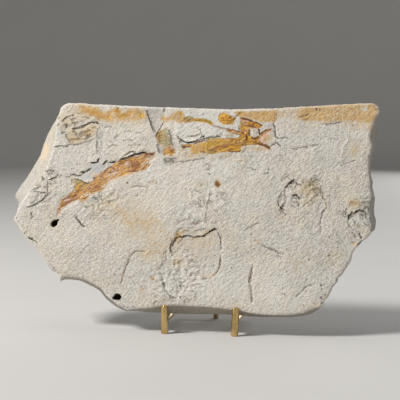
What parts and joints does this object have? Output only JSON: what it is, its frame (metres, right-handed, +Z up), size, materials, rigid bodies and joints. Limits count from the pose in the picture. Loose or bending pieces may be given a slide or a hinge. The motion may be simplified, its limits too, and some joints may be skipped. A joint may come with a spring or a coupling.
{
  "type": "fossil fish slab on a stand",
  "caption": "Split limestone slab with a flattened fossil fish on its face, leaning back on a small brass rod stand with posts, arms and a rear leg.",
  "frame": {"origin": "on the surface that the stand rests on, under the middle of the whole object's box", "axes": "+X along the slab's width, to the right as one faces the fish; +Y from the front towards the rear leg; +Z up"},
  "size_m": [0.4088, 0.1002, 0.2461],
  "materials": {
    "stone": "matte",
    "brass": "polished"
  },
  "bodies": {
    "root": {"slab": "stone", "left_post": "brass", "right_post": "brass", "left_arm": "brass", "right_arm": "brass", "cross_bar": "brass", "back_leg": "brass"}
  },
  "joints": []
}
